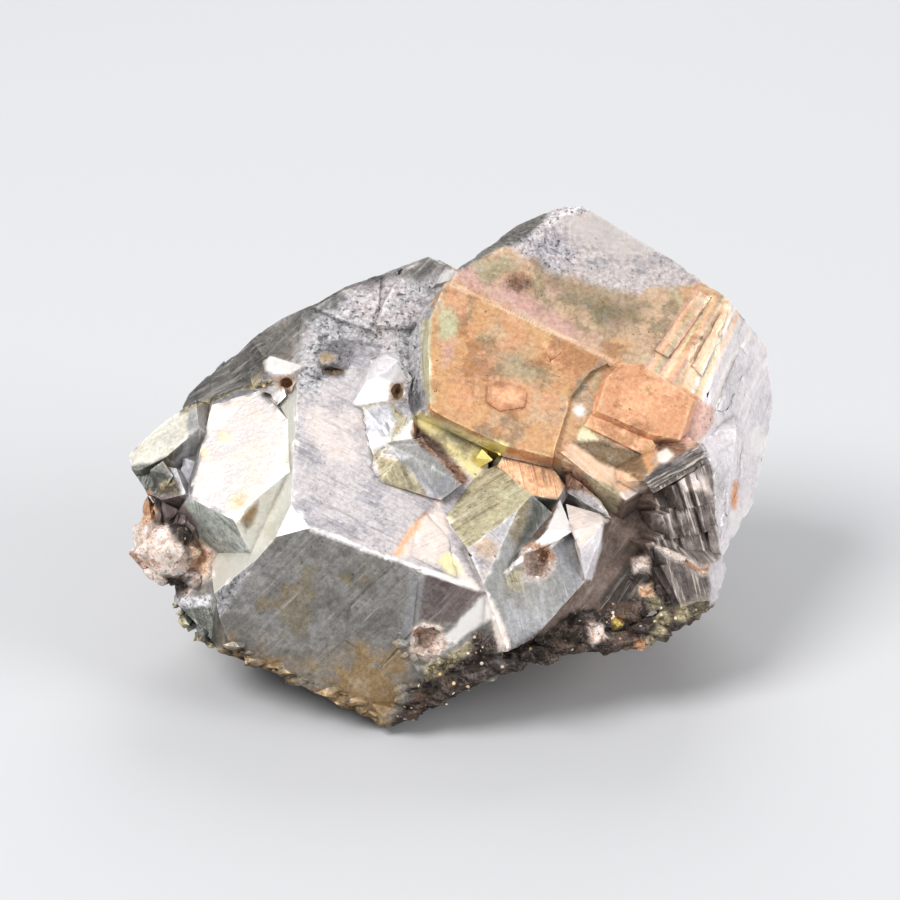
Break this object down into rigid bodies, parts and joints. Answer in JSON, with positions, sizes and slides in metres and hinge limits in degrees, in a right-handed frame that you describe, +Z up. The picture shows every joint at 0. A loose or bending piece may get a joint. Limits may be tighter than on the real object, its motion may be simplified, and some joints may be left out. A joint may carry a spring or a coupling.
{
  "type": "pyrite crystal",
  "caption": "Pyrite crystal cluster: intergrown flat-faced crystals with growth steps, small side crystals and crusted lumps round a flat resting foot.",
  "frame": {"origin": "centre of the bounding box at the floor, under the flat resting foot", "axes": "+X along the longest side, from the pale block to the broad stepped crystal; -Y towards the side the broad faces look to; +Z up"},
  "size_m": [0.0422, 0.0266, 0.0271],
  "materials": {
    "pyrite": "tarnished, partly iridescent"
  },
  "bodies": {
    "root": {"pyrite_cluster": "pyrite"}
  },
  "joints": []
}
